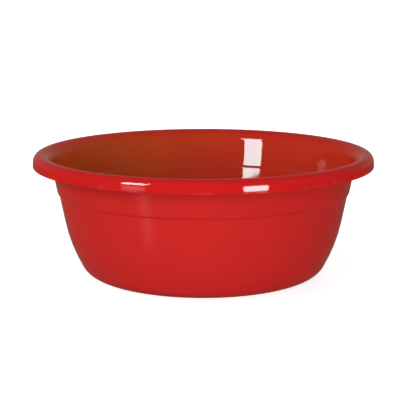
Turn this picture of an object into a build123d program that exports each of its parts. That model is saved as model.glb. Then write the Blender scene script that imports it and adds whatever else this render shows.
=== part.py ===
from build123d import *
from math import acos, cos, degrees, radians, sin, tan
import os

# Round washing up bowl, moulded in one piece. Millimetres and degrees, +Z up, origin at the centre of the
# standing base. The section below is drawn once and turned about the bowl's axis.

# Overall size
rim_diameter = 360
bowl_height = 129.5
wall = 2.0

# Standing base, on the outside
ring_width = 12
panel_rise = 1.5
panel_slope = 35

# Moulding gate in the middle of the underside
gate_diameter = 12
gate_depth = 0.6
nub_diameter = 3

# Side, on the outside
corner_radius = 20
side_radius = 161
side_straight = 29
draft_angle = 11

# Stacking ledge, on the outside
ledge_height = 86.6
ledge_width = 1.8
ledge_slope = 45

# Rolled rim, on its upper surface
flare_radius = 13.6
roll_radius = 7.6
skirt_angle = 4
rim_depth = 13.4


def bend_run(radius, low, high):
    """How far out a bend reaches between two slopes, in degrees from level."""
    return radius * (sin(radians(high)) - sin(radians(low)))


def bend_rise(radius, low, high):
    """How far up a bend reaches between two slopes, in degrees from level."""
    return radius * (cos(radians(low)) - cos(radians(high)))


def edge_shift(depth, turn):
    """How far back along the wall an edge lies at a depth under the inside, where the wall turns."""
    return depth * tan(radians(turn / 2))


# Slopes along the section, from level
side_slope = 90 - draft_angle
skirt_slope = 90 - skirt_angle

# The corner turns until the side's curve ends where the straight part of the side begins
straight_start = ledge_height - side_straight
corner_slope_cosine = (straight_start - corner_radius + side_radius * cos(radians(side_slope))) / (
    side_radius - corner_radius
)
corner_slope = degrees(acos(corner_slope_cosine))

# Straight runs of the inside surface at the ledge and the raised panel
ledge_shift = edge_shift(wall, side_slope - ledge_slope)
ledge_length = ledge_width / cos(radians(ledge_slope))
side_length = side_straight / sin(radians(side_slope)) + ledge_shift
panel_shift = edge_shift(wall, panel_slope)
panel_run = panel_rise / tan(radians(panel_slope))

# Places along the inside surface, from the rim inwards
skirt_drop = rim_depth - bend_rise(roll_radius, 0, skirt_slope)
skirt_length = skirt_drop / cos(radians(skirt_angle))
crest_radius = rim_diameter / 2 - skirt_drop * tan(radians(skirt_angle)) - bend_run(roll_radius, 0, skirt_slope)
collar_top = bowl_height - bend_rise(flare_radius, 0, side_slope)
collar_foot = (
    ledge_height
    + wall * cos(radians(side_slope))
    + ledge_shift * sin(radians(side_slope))
    + ledge_width * tan(radians(ledge_slope))
)
collar_length = (collar_top - collar_foot) / sin(radians(side_slope))
corner_start = (
    crest_radius
    - bend_run(flare_radius, 0, side_slope)
    - (collar_length + side_length) * cos(radians(side_slope))
    - ledge_width
    - bend_run(side_radius - wall, corner_slope, side_slope)
    - bend_run(corner_radius - wall, 0, corner_slope)
)
ring_start = corner_start - ring_width + panel_shift
panel_radius = ring_start - panel_run

def draw_surface(depth):
    """Draw one surface of the section, at a depth under the inside and upper one, and give its two ends."""
    panel_height = panel_rise + wall - depth
    panel_edge = (panel_radius - edge_shift(depth, panel_slope), panel_height)
    panel_foot = (panel_edge[0] + panel_run, wall - depth)
    Polyline((0, panel_height), panel_edge, panel_foot)
    ring = Line(panel_foot, (corner_start, wall - depth))
    corner = JernArc(ring @ 1, ring % 1, corner_radius - wall + depth, corner_slope)
    curved_side = JernArc(corner @ 1, corner % 1, side_radius - wall + depth, side_slope - corner_slope)
    shift = edge_shift(depth, side_slope - ledge_slope)
    straight_side = PolarLine(curved_side @ 1, side_length - shift, side_slope)
    ledge = PolarLine(straight_side @ 1, ledge_length, ledge_slope)
    collar = PolarLine(ledge @ 1, collar_length + shift, side_slope)
    flare = JernArc(collar @ 1, collar % 1, flare_radius - depth, -side_slope)
    roll = JernArc(flare @ 1, flare % 1, roll_radius - depth, -skirt_slope)
    skirt = PolarLine(roll @ 1, skirt_length, -skirt_slope)
    return (0, panel_height), skirt @ 1


with BuildPart() as bowl:
    # The shell: the same bends and runs drawn on the inside and, a wall deeper, on the outside
    with BuildSketch(Plane.XZ):
        with BuildLine():
            inside_middle, inside_lip = draw_surface(0)
            outside_middle, outside_lip = draw_surface(wall)
            Line(inside_middle, outside_middle)
            Line(inside_lip, outside_lip)
        make_face()
    revolve(axis=Axis.Z)

    # The gate's dimple in the raised panel, round the nub that the gate leaves
    with BuildSketch(Plane.XY.offset(panel_rise)):
        Circle(gate_diameter / 2)
        Circle(nub_diameter / 2, mode=Mode.SUBTRACT)
    extrude(amount=gate_depth, mode=Mode.SUBTRACT)

bowl.part.label = "bowl"

os.makedirs("parts", exist_ok=True)
export_step(bowl.part, "parts/bowl.step")
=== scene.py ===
import math

import bmesh
import bpy
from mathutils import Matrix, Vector


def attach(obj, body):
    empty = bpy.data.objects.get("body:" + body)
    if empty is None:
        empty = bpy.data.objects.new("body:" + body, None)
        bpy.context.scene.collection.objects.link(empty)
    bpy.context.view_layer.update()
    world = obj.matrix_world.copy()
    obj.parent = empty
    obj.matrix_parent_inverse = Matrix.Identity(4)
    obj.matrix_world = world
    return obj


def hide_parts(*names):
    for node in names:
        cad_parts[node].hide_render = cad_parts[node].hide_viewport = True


# Round washing up bowl in red moulded plastic, glossy inside and on the rim, satin outside.
# Metres, +Z up, and the bowl stands on z = 0.

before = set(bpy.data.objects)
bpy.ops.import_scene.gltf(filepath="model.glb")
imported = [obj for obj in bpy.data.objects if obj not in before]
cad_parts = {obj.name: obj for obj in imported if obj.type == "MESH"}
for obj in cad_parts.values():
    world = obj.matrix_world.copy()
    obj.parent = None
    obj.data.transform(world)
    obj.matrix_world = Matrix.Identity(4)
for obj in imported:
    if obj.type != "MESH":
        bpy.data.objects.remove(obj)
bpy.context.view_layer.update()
scene = bpy.context.scene
scene.view_settings.view_transform = "Standard"
print("frame loaded:", sorted(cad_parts))


class Wire:
    # a shader socket that adds Math nodes where it stands in an expression
    def __init__(self, finish, socket):
        self.finish = finish
        self.socket = socket

    def maths(self, operation, *others):
        values = dict(enumerate((self, *others)))
        return self.finish.node("ShaderNodeMath", {"operation": operation}, values)

    def __add__(self, other):
        return self.maths("ADD", other)

    def __sub__(self, other):
        return self.maths("SUBTRACT", other)

    def __rsub__(self, other):
        return self * -1.0 + other

    def __mul__(self, other):
        return self.maths("MULTIPLY", other)

    def __truediv__(self, other):
        return self.maths("DIVIDE", other)

    __radd__ = __add__
    __rmul__ = __mul__

    def output(self, name):
        # another output of the same node
        return Wire(self.finish, self.socket.node.outputs[name])

    def rising(self, low, high):
        # 0 below low and 1 above high, with a smooth step between; falls where low is the higher of the two
        settings = {"interpolation_type": "SMOOTHSTEP"}
        values = {"Value": self, "From Min": low, "From Max": high}
        return self.finish.node("ShaderNodeMapRange", settings, values)


class Finish:
    # a material or the world, built node by node
    def __init__(self, owner):
        self.owner = owner
        owner.use_nodes = True
        self.tree = owner.node_tree
        self.tree.nodes.clear()

    def node(self, kind, settings=None, values=None, output=0):
        made = self.tree.nodes.new(kind)
        for name, value in (settings or {}).items():
            setattr(made, name, value)
        for name, value in (values or {}).items():
            if isinstance(value, Wire):
                self.tree.links.new(value.socket, made.inputs[name])
            else:
                made.inputs[name].default_value = value
        return Wire(self, made.outputs[output]) if made.outputs else None

    def axis(self, place, name):
        return self.node("ShaderNodeSeparateXYZ", values={0: place}, output=name)

    def length(self, place):
        return self.node("ShaderNodeVectorMath", {"operation": "LENGTH"}, {0: place}, output="Value")

    def noise(self, place, scale, detail):
        values = {"Vector": place, "Scale": scale, "Detail": detail}
        return self.node("ShaderNodeTexNoise", values=values, output="Fac")

    def mixColour(self, share, low, high):
        low, high = ((*colour, 1.0) if isinstance(colour, tuple) else colour for colour in (low, high))
        return self.node("ShaderNodeMix", {"data_type": "RGBA"}, {0: share, 6: low, 7: high}, output=2)

    def shownRays(self):
        # 1 for what the camera sees, straight or through gloss and glass
        ray = self.node("ShaderNodeLightPath", output="Is Camera Ray")
        return ray + ray.output("Is Glossy Ray") + ray.output("Is Transmission Ray")

    def close(self, shader):
        # ends the nodes with their output
        kind = "World" if isinstance(self.owner, bpy.types.World) else "Material"
        self.node("ShaderNodeOutput" + kind, values={"Surface": shader})
        return self.owner


# camera, at the photograph's place and tilt
cameraView = {
    "place": (0.0006, -1.25, 0.3226),
    "tiltDown": 11.35,
    "lens": 105.0,
    "sensor": 36.0,
}
camera = bpy.data.objects.new("camera", bpy.data.cameras.new("camera"))
camera.data.lens = cameraView["lens"]
camera.data.sensor_width = cameraView["sensor"]
camera.location = cameraView["place"]
camera.rotation_euler = (math.radians(90.0 - cameraView["tiltDown"]), 0.0, 0.0)
scene.collection.objects.link(camera)
scene.camera = camera
print("camera placed")


def sine(degrees):
    return math.sin(math.radians(degrees))


def cosine(degrees):
    return math.cos(math.radians(degrees))


def tangent(degrees):
    return math.tan(math.radians(degrees))


class SectionPen:
    # draws a line in the XZ plane by extruding and spinning its last vertex
    def __init__(self, mesh, start):
        self.mesh = mesh
        self.slope = 0.0
        self.tip = mesh.verts.new(start)
        self.drawn = [self.tip]

    def run(self, length, parts=1):
        step = Vector((cosine(self.slope), 0.0, sine(self.slope))) * (length / parts)
        for part in range(parts):
            self.tip = bmesh.ops.extrude_vert_indiv(self.mesh, verts=[self.tip])["verts"][0]
            self.tip.co += step
            self.drawn.append(self.tip)

    def bend(self, radius, turn, degreesEach):
        side = math.copysign(1.0, turn)
        centre = self.tip.co + Vector((-sine(self.slope), 0.0, cosine(self.slope))) * radius * side
        parts = max(2, round(abs(turn) / degreesEach))
        for part in range(parts):
            spun = bmesh.ops.spin(
                self.mesh, geom=[self.tip], cent=centre, axis=(0.0, -side, 0.0),
                angle=math.radians(abs(turn)) / parts, steps=1,
            )
            self.tip = next(item for item in spun["geom_last"] if isinstance(item, bmesh.types.BMVert))
            self.drawn.append(self.tip)
        self.slope += turn


def spinRound(mesh, parts, joinWithin):
    # turns the drawn section about the bowl's axis
    bmesh.ops.spin(
        mesh, geom=mesh.verts[:] + mesh.edges[:], cent=(0.0, 0.0, 0.0), axis=(0.0, 0.0, 1.0),
        angle=2.0 * math.pi, steps=parts, use_merge=True,
    )
    bmesh.ops.remove_doubles(mesh, verts=mesh.verts, dist=joinWithin)
    bmesh.ops.recalc_face_normals(mesh, faces=mesh.faces)


def placeMesh(name, mesh, material):
    data = bpy.data.meshes.new(name)
    mesh.to_mesh(data)
    mesh.free()
    data.materials.append(material)
    placed = bpy.data.objects.new(name, data)
    scene.collection.objects.link(placed)
    return placed


# the bowl, drawn as one section and spun about its axis; radii are those of the outer surface
bowlSize = {
    "rimRadius": 0.180,
    "height": 0.1295,
    "wall": 0.002,
    "ringWidth": 0.012,
    "panelRise": 0.0015,
    "panelSlope": 35.0,
    "panelBend": 0.0012,
    "gateRadius": 0.006,
    "gateDepth": 0.0006,
    "nubRadius": 0.0015,
    "cornerRadius": 0.020,
    "sideRadius": 0.161,
    "sideStraight": 0.029,
    "sideSlope": 79.0,
    "ledgeHeight": 0.0866,
    "ledgeWidth": 0.0018,
    "ledgeSlope": 45.0,
    "ledgeBend": 0.0014,
    "flareRadius": 0.0136,
    "rollRadius": 0.0076,
    "skirtSlope": 86.0,
    "rimDepth": 0.0134,
    "lipRound": 0.0007,
    "panelParts": 10,
    "ringParts": 3,
    "sideParts": 8,
    "collarParts": 8,
    "skirtParts": 3,
    "degreesEach": 4.0,
    "lipDegreesEach": 18.0,
    "turnParts": 288,
    "joinWithin": 1e-6,
    "wornReach": 0.005,
    "wornRise": 0.25,  # how high the wear climbs from the standing ring, as a share of wornReach
}


def sectionMoves(size):
    # the inside and upper surface from the middle outwards: runs with their parts, bends with their turns
    wall = size["wall"]
    slope = size["sideSlope"]
    ledgeTurn = slope - size["ledgeSlope"]
    ledgeReach = tangent(ledgeTurn / 2)
    panelReach = tangent(size["panelSlope"] / 2)
    panelOut = size["panelBend"] + wall
    ledgeOut = size["ledgeBend"] + wall

    # heights and lengths, up to the rim
    straightStart = size["ledgeHeight"] - size["sideStraight"]
    curveRise = straightStart - size["cornerRadius"] + size["sideRadius"] * cosine(slope)
    cornerSlope = math.degrees(math.acos(curveRise / (size["sideRadius"] - size["cornerRadius"])))
    sideLength = size["sideStraight"] / sine(slope) + wall * ledgeReach
    ledgeFoot = size["ledgeHeight"] + wall * (cosine(slope) + ledgeReach * sine(slope))
    collarFoot = ledgeFoot + size["ledgeWidth"] * tangent(size["ledgeSlope"])
    collarTop = size["height"] - size["flareRadius"] * (1.0 - cosine(slope))
    collarLength = (collarTop - collarFoot) / sine(slope)
    skirtDrop = size["rimDepth"] - size["rollRadius"] * (1.0 - cosine(size["skirtSlope"]))

    # radii, back from the rim to the panel
    rollReach = size["rollRadius"] * sine(size["skirtSlope"])
    crestRadius = size["rimRadius"] - skirtDrop / tangent(size["skirtSlope"]) - rollReach
    collarRadius = crestRadius - size["flareRadius"] * sine(slope)
    sideEnd = collarRadius - (collarLength + sideLength) * cosine(slope) - size["ledgeWidth"]
    cornerEnd = sideEnd - (size["sideRadius"] - wall) * (sine(slope) - sine(cornerSlope))
    cornerStart = cornerEnd - (size["cornerRadius"] - wall) * sine(cornerSlope)
    panelRun = size["panelRise"] / tangent(size["panelSlope"])
    panelRadius = cornerStart - size["ringWidth"] + wall * panelReach - panelRun

    # straight runs, less what their bends take
    panelSide = panelRun / cosine(size["panelSlope"]) - (panelOut + size["panelBend"]) * panelReach
    ledgeSide = size["ledgeWidth"] / cosine(size["ledgeSlope"]) - (ledgeOut + size["ledgeBend"]) * ledgeReach
    return [
        ("run", panelRadius - panelOut * panelReach, size["panelParts"]),
        ("bend", panelOut, -size["panelSlope"]),
        ("run", panelSide, 1),
        ("bend", size["panelBend"], size["panelSlope"]),
        ("run", size["ringWidth"] - panelOut * panelReach, size["ringParts"]),
        ("bend", size["cornerRadius"] - wall, cornerSlope),
        ("bend", size["sideRadius"] - wall, slope - cornerSlope),
        ("run", sideLength - ledgeOut * ledgeReach, size["sideParts"]),
        ("bend", ledgeOut, -ledgeTurn),
        ("run", ledgeSide, 1),
        ("bend", size["ledgeBend"], ledgeTurn),
        ("run", collarLength - size["ledgeBend"] * ledgeReach, size["collarParts"]),
        ("bend", size["flareRadius"], -slope),
        ("bend", size["rollRadius"], -size["skirtSlope"]),
        ("run", skirtDrop / sine(size["skirtSlope"]) - size["lipRound"], size["skirtParts"]),
    ]


def drawSection(mesh, size):
    # gives the vertices in order, and where the collar, the crest and the inside lip end among them
    moves = sectionMoves(size)
    wall = size["wall"]
    pen = SectionPen(mesh, (0.0, 0.0, size["panelRise"] + wall))
    ends = []
    for kind, amount, partsOrTurn in moves:
        if kind == "run":
            pen.run(amount, partsOrTurn)
        else:
            pen.bend(amount, partsOrTurn, size["degreesEach"])
        ends.append(len(pen.drawn) - 1)
    collarEnd, crest, lip = ends[-4], ends[-3], ends[-1]

    # round the lip, then back along the outside, a wall away
    pen.bend(size["lipRound"], -90.0, size["lipDegreesEach"])
    pen.run(wall - 2.0 * size["lipRound"])
    pen.bend(size["lipRound"], -90.0, size["lipDegreesEach"])
    panel = moves.pop(0)
    for kind, amount, partsOrTurn in reversed(moves):
        if kind == "run":
            pen.run(amount, partsOrTurn)
        else:
            pen.bend(amount + math.copysign(wall, partsOrTurn), -partsOrTurn, size["degreesEach"])

    # the gate's dimple round its nub, in the middle of the underside
    pen.run(panel[1] - size["gateRadius"], panel[2])
    dimple = (
        (90.0, size["gateDepth"]),
        (180.0, size["gateRadius"] - size["nubRadius"]),
        (-90.0, size["gateDepth"]),
        (180.0, size["nubRadius"]),
    )
    for slope, length in dimple:
        pen.slope = slope
        pen.run(length)
    return pen.drawn, collarEnd, crest, lip


def makeBowl(size, material):
    mesh = bmesh.new()
    insideShare = mesh.verts.layers.float.new("insideShare")
    glossShare = mesh.verts.layers.float.new("glossShare")
    wornShare = mesh.verts.layers.float.new("wornShare")
    drawn, collarEnd, crest, lip = drawSection(mesh, size)
    wornEdges = (drawn[crest].co.copy(), drawn[lip].co.copy())
    for place, vert in enumerate(drawn):
        vert[insideShare] = min(1.0, max(0.0, (crest - place) / (crest - collarEnd)))
        vert[glossShare] = 1.0 if place <= lip else 0.0
        nearest = min(vert.co.z / size["wornRise"], *((vert.co - edge).length for edge in wornEdges))
        vert[wornShare] = max(0.0, 1.0 - nearest / size["wornReach"])
    spinRound(mesh, size["turnParts"], size["joinWithin"])
    for face in mesh.faces:
        face.smooth = True
    return placeMesh("bowlBody", mesh, material)


plasticLook = {
    "outside": (0.62, 0.0215, 0.019),
    "rim": (0.60, 0.011, 0.011),
    # painted shade: the inside's left end is darker and browner, easing to its lit right end across the span
    # below
    "insideShadedLeft": (0.53, 0.078, 0.014),
    "insideLitRight": (0.62, 0.038, 0.015),
    "insideShadeSpan": (-0.14, 0.10),
    "deep": (0.47, 0.012, 0.009),
    "deepShare": 0.16,
    "cloudNoise": (9.0, 3.0),  # scale and detail, as in each noise below
    "cloudSpan": (0.45, 0.75),
    "cloudDrift": 0.10,
    "scuffed": (0.70, 0.12, 0.10),
    "scuffShare": 0.14,
    "patchNoise": (70.0, 4.0),
    "patchSpan": (0.48, 0.62),
    "wideNoise": (14.0, 2.0),
    "wideSpan": (0.40, 0.60),
    "scratchShare": 0.22,
    "scratchHeights": (0.085, 0.02),
    "hairlineNoise": (1.0, 1.0),
    "hairlines": (
        {"turn": (0.3, 0.2, 0.5), "scale": (26.0, 900.0, 26.0), "span": (0.66, 0.74)},
        {"turn": (0.1, 0.4, 2.1), "scale": (30.0, 1100.0, 30.0), "span": (0.67, 0.75)},
    ),
    "roughness": 0.15,
    "glossRoughness": 0.025,
    "smudge": 0.02,
    "smudgeNoise": (24.0, 3.0),
    "smudgeSpan": (0.45, 0.70),
    "scuffRoughness": 0.10,
    "grainDepth": 0.00010,
    "grainNoise": (420.0, 2.0),
    "glossGrain": 0.03,
    "ringTurn": 900.0,  # radians per metre of radius
    "ringSpan": (0.045, 0.010),
    "ringShare": 0.35,
    "markShare": 0.15,
    "ior": 1.25,
}


def hairlines(finish, place, look):
    # noise drawn out along each line's direction and cut to its thin crests
    lines = 0.0
    for line in look["hairlines"]:
        values = {"Vector": place, "Rotation": line["turn"], "Scale": line["scale"]}
        drawnOut = finish.node("ShaderNodeMapping", values=values)
        crests = finish.noise(drawnOut, *look["hairlineNoise"]).rising(*line["span"])
        lines = crests + lines
    return lines


def bowlPlastic(look):
    finish = Finish(bpy.data.materials.new("bowlPlastic"))
    insideShare, glossShare, wornShare = (
        finish.node("ShaderNodeAttribute", {"attribute_name": name}, output="Fac")
        for name in ("insideShare", "glossShare", "wornShare")
    )
    place = finish.node("ShaderNodeTexCoord", output="Object")
    radius = finish.length(place)

    # colour: browner on the inside, its left side darker and browner still as painted shade that eases
    # towards its lit right, with soft clouds in the pigment
    cloud = finish.noise(place, *look["cloudNoise"])
    across = finish.axis(place, "X") + (cloud - 0.5) * look["cloudDrift"]
    inside = finish.mixColour(across.rising(*look["insideShadeSpan"]), look["insideShadedLeft"], look["insideLitRight"])
    outer = finish.mixColour(glossShare, look["outside"], look["rim"])
    colour = finish.mixColour(insideShare, outer, inside)
    colour = finish.mixColour(cloud.rising(*look["cloudSpan"]) * look["deepShare"], colour, look["deep"])

    # scuffs along the crest, the lip and the standing ring, and hairlines low inside where dishes lie
    patch = finish.noise(place, *look["patchNoise"]).rising(*look["patchSpan"])
    widePatch = finish.noise(place, *look["wideNoise"]).rising(*look["wideSpan"])
    scuff = wornShare * patch * widePatch
    low = finish.axis(place, "Z").rising(*look["scratchHeights"])
    scratched = hairlines(finish, place, look) * insideShare * low
    mark = (scuff * look["scuffShare"] + scratched * look["scratchShare"]).maths("MINIMUM", 1.0)
    colour = finish.mixColour(mark, colour, look["scuffed"])

    # satin outside, glossy inside and on the rim, with handling smudges
    smudge = finish.noise(place, *look["smudgeNoise"]).rising(*look["smudgeSpan"]) * look["smudge"]
    rough = look["roughness"] + glossShare * (look["glossRoughness"] - look["roughness"])
    rough = rough + smudge + (scuff + scratched) * look["scuffRoughness"]

    # fine grain, stronger on the satin side, and flow rings round the gate
    grain = finish.noise(place, *look["grainNoise"]) * (1.0 - glossShare * (1.0 - look["glossGrain"]))
    rings = (radius * look["ringTurn"]).maths("SINE") * radius.rising(*look["ringSpan"]) * look["ringShare"]
    height = grain + rings - mark * look["markShare"]
    values = {"Height": height, "Distance": look["grainDepth"], "Strength": 1.0}
    bump = finish.node("ShaderNodeBump", values=values)
    values = {"Base Color": colour, "Roughness": rough, "Normal": bump, "IOR": look["ior"]}
    return finish.close(finish.node("ShaderNodeBsdfPrincipled", values=values))


bowl = makeBowl(bowlSize, bowlPlastic(plasticLook))
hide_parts("bowl")
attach(bowl, "root")
print("bowl made:", len(bowl.data.polygons), "faces")

# lamps, each at a direction seen from the middle of the rim: azimuth 0 is towards the camera, + to the right;
# power lights the bowl and mirrored shows in reflections alone
lamps = {
    "leftLamp": {
        "azimuth": -44.0, "elevation": 21.0, "away": 1.55, "width": 0.42, "height": 0.60,
        "power": 4.6, "mirrored": 46.5,
    },
    "rightLamp": {
        "azimuth": 31.7, "elevation": 3.0, "away": 1.55, "width": 0.42, "height": 0.34,
        "power": 4.8, "mirrored": 25.0,
    },
    "leftGlow": {
        "azimuth": -43.0, "elevation": -3.2, "away": 1.55, "width": 0.42, "height": 0.10,
        "power": 0.0, "mirrored": 0.5,
    },
    "frontFill": {
        "azimuth": 0.0, "elevation": 12.0, "away": 1.6, "width": 1.0, "height": 0.9,
        "power": 9.3, "mirrored": 0.0,
    },
    "leftFill": {
        "azimuth": -95.0, "elevation": 15.0, "away": 1.6, "width": 0.6, "height": 0.9,
        "power": 6.5, "mirrored": 0.0,
    },
    "backFill": {
        "azimuth": 160.0, "elevation": 25.0, "away": 1.6, "width": 0.8, "height": 0.8,
        "power": 6.5, "mirrored": 0.0,
    },
}
lampSetup = {
    "target": (0.0, 0.0, 0.12),
    "colour": (1.0, 1.0, 1.0),
    "mirroredColour": (0.66, 0.98, 1.0),  # cool, so that the highlights on red plastic look white
    "mirroredNearer": 0.01,  # one lamp right on another isn't seen in reflections
}


def makeLamp(name, lamp, power, away, colour):
    data = bpy.data.lights.new(name, "AREA")
    data.shape = "RECTANGLE"
    data.size = lamp["width"]
    data.size_y = lamp["height"]
    data.energy = power
    data.color = colour
    level = cosine(lamp["elevation"])
    direction = Vector((
        sine(lamp["azimuth"]) * level, -cosine(lamp["azimuth"]) * level, sine(lamp["elevation"]),
    ))
    made = bpy.data.objects.new(name, data)
    made.location = Vector(lampSetup["target"]) + direction * away
    made.rotation_euler = direction.to_track_quat("Z", "Y").to_euler()
    made.visible_camera = False
    scene.collection.objects.link(made)
    return made


for name, lamp in lamps.items():
    if lamp["power"]:
        makeLamp(name, lamp, lamp["power"], lamp["away"], lampSetup["colour"]).visible_glossy = False
    if lamp["mirrored"]:
        nearer = lamp["away"] - lampSetup["mirroredNearer"]
        mirrored = makeLamp(name + "Mirrored", lamp, lamp["mirrored"], nearer, lampSetup["mirroredColour"])
        mirrored.visible_diffuse = False
print("lamps placed")

# what the bowl mirrors, seen in reflections alone: a dim mat round its foot and a dim dome over both
surroundLook = {
    "innerRadius": 0.114,
    "radius": 6.0,
    "lift": 0.0005,
    "parts": 96,
    "degreesEach": 6.0,
    "joinWithin": 1e-5,
    "mat": (0.19, 0.114, 0.09),
    "horizon": (0.32, 0.24, 0.19),
    "above": (0.26, 0.23, 0.21),
    "horizonSines": (0.0, 0.02),
    "aboveSines": (0.15, 0.35),
}
# the left lamp's sheen painted on the mat: a glowing wedge that widens away from the bowl and stands for the
# lamp's reflection there
sheenLook = {
    "turn": -135.0,
    "offset": 0.055,
    "tip": 0.12,
    "leastAlong": 0.001,
    "spread": (0.18, 0.02),
    "fade": (0.175, 0.255),
    "farFade": (5.0, 4.0),
    "colour": (1.0, 1.0, 1.0),
    "glow": 0.75,
}


def surroundFinish(look, sheen):
    finish = Finish(bpy.data.materials.new("dimSurround"))
    place = finish.node("ShaderNodeTexCoord", output="Object")
    radius = finish.length(place)
    sineUp = finish.axis(place, "Z") / radius
    colour = finish.mixColour(sineUp.rising(*look["horizonSines"]), look["mat"], look["horizon"])
    colour = finish.mixColour(sineUp.rising(*look["aboveSines"]), colour, look["above"])

    # X runs along the wedge and Y across it
    turned = {"Vector": place, "Rotation": (0.0, 0.0, math.radians(sheen["turn"]))}
    along = finish.axis(finish.node("ShaderNodeMapping", {"vector_type": "TEXTURE"}, turned), "X")
    fromTip = (along - sheen["tip"]).maths("MAXIMUM", sheen["leastAlong"])
    aside = (along.output("Y") - sheen["offset"]).maths("ABSOLUTE") / fromTip
    share = aside.rising(*sheen["spread"]) * along.rising(*sheen["fade"]) * radius.rising(*sheen["farFade"])
    # painted sheen: inside the wedge the mat glows whiter and brighter
    colour = finish.mixColour(share, colour, sheen["colour"])
    values = {"Color": colour, "Strength": 1.0 + share * sheen["glow"]}
    finish.close(finish.node("ShaderNodeEmission", values=values))
    finish.owner.cycles.emission_sampling = "NONE"  # rays find it by themselves, so no light is aimed at it
    return finish.owner


def makeSurround(look, sheen):
    mesh = bmesh.new()
    pen = SectionPen(mesh, (look["innerRadius"], 0.0, look["lift"]))
    pen.run(look["radius"] - look["innerRadius"])
    pen.slope = 90.0
    pen.bend(look["radius"], 90.0, look["degreesEach"])
    spinRound(mesh, look["parts"], look["joinWithin"])
    surround = placeMesh("dimSurround", mesh, surroundFinish(look, sheen))
    for ray in ("visible_camera", "visible_diffuse", "visible_transmission", "visible_shadow"):
        setattr(surround, ray, False)
    return surround


makeSurround(surroundLook, sheenLook)

# the floor, lifted to white where the camera sees it, and less so near the bowl, whose shadow it keeps
floorLook = {
    "size": 30.0,
    "colour": (0.58, 0.58, 0.58, 1.0),
    "nearGlow": 0.78,
    "farGlow": 0.95,
    "nearRadius": 0.15,
    "farRadius": 0.9,
}


def makeFloor(look):
    mesh = bmesh.new()
    bmesh.ops.create_grid(mesh, x_segments=1, y_segments=1, size=look["size"] / 2)
    finish = Finish(bpy.data.materials.new("paleFloor"))
    place = finish.node("ShaderNodeTexCoord", output="Object")
    far = finish.length(place).rising(look["nearRadius"], look["farRadius"])
    glow = look["nearGlow"] + far * (look["farGlow"] - look["nearGlow"])
    lit = finish.node("ShaderNodeBsdfDiffuse", values={"Color": look["colour"]})
    glowing = finish.node("ShaderNodeEmission", values={"Strength": finish.shownRays() * glow})
    both = finish.node("ShaderNodeAddShader", values={0: lit, 1: glowing})
    return placeMesh("floor", mesh, finish.close(both))


makeFloor(floorLook)

# the studio's even light, stronger near the horizon, and a white background
worldLook = {
    "colour": (1.0, 1.0, 1.0, 1.0),
    "horizon": 0.38,
    "above": 0.26,
    "aboveSines": (0.15, 0.35),
    "shown": 1.0,
}


def makeWorld(look):
    finish = Finish(bpy.data.worlds.new("studio"))
    direction = finish.node("ShaderNodeTexCoord", output="Generated")
    climb = finish.axis(direction, "Z").rising(*look["aboveSines"])
    level = look["horizon"] + climb * (look["above"] - look["horizon"])
    level = level + finish.shownRays() * (look["shown"] - level)
    values = {"Color": look["colour"], "Strength": level}
    return finish.close(finish.node("ShaderNodeBackground", values=values))


scene.world = makeWorld(worldLook)
print("studio lit")
